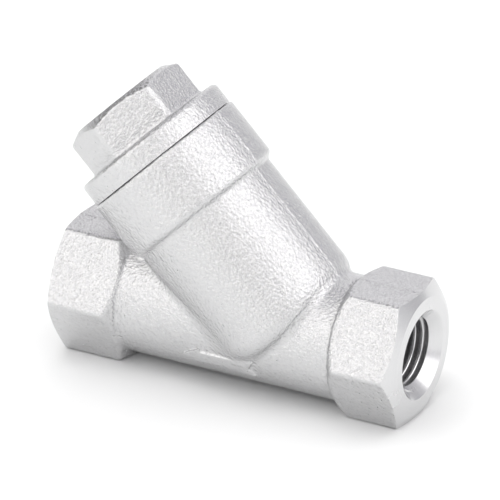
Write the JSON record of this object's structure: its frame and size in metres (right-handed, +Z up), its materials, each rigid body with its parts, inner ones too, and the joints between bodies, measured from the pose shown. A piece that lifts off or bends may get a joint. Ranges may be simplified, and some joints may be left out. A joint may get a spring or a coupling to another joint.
{
  "type": "y strainer",
  "caption": "Cast stainless Y strainer with female threaded hex ends, an angled leg, a hex headed screw cap and a removable tubular screen.",
  "frame": {"origin": "on the plane of the hex ends' lower flats, half way between the two port faces, in the symmetry plane", "axes": "+X along the pipe run from the outlet to the inlet, +Z up on the leg's side, +Y across; the leg rises at 45 degrees towards -X"},
  "size_m": [0.065, 0.0288, 0.052],
  "materials": {
    "cast_steel": "satin bead blasted investment casting",
    "cast_steel_cap": "satin bead blasted investment casting",
    "gasket": "waxy white sealing plastic",
    "screen_sheet": "rolled perforated sheet",
    "wire_mesh": "fine woven wire cloth"
  },
  "bodies": {
    "body": {"body": "cast_steel"},
    "screen": {"screen_tube": "screen_sheet", "mesh_liner": "wire_mesh", "screen_seat_ring": "screen_sheet", "screen_cap_ring": "screen_sheet"},
    "gasket": {"cap_gasket": "gasket"},
    "cap": {"cap": "cast_steel_cap"}
  },
  "joints": [
    {"name": "screen_withdraw", "type": "slide", "parent": "body", "child": "screen", "axis": [-0.7071, 0, 0.7071], "range_m": [0, 0.04]},
    {"name": "cap_lift", "type": "slide", "parent": "screen", "child": "gasket", "axis": [-0.7071, 0, 0.7071], "range_m": [0, 0.0079]},
    {"name": "cap_turn", "type": "hinge", "parent": "gasket", "child": "cap", "pos_m": [-0.02, 0, 0.0409], "axis": [-0.7071, 0, 0.7071], "range_deg": [0, 1890]}
  ],
  "couplings": [
    {"joint": "cap_lift", "follows": "cap_turn", "m_per_rad": 0.00023873}
  ]
}
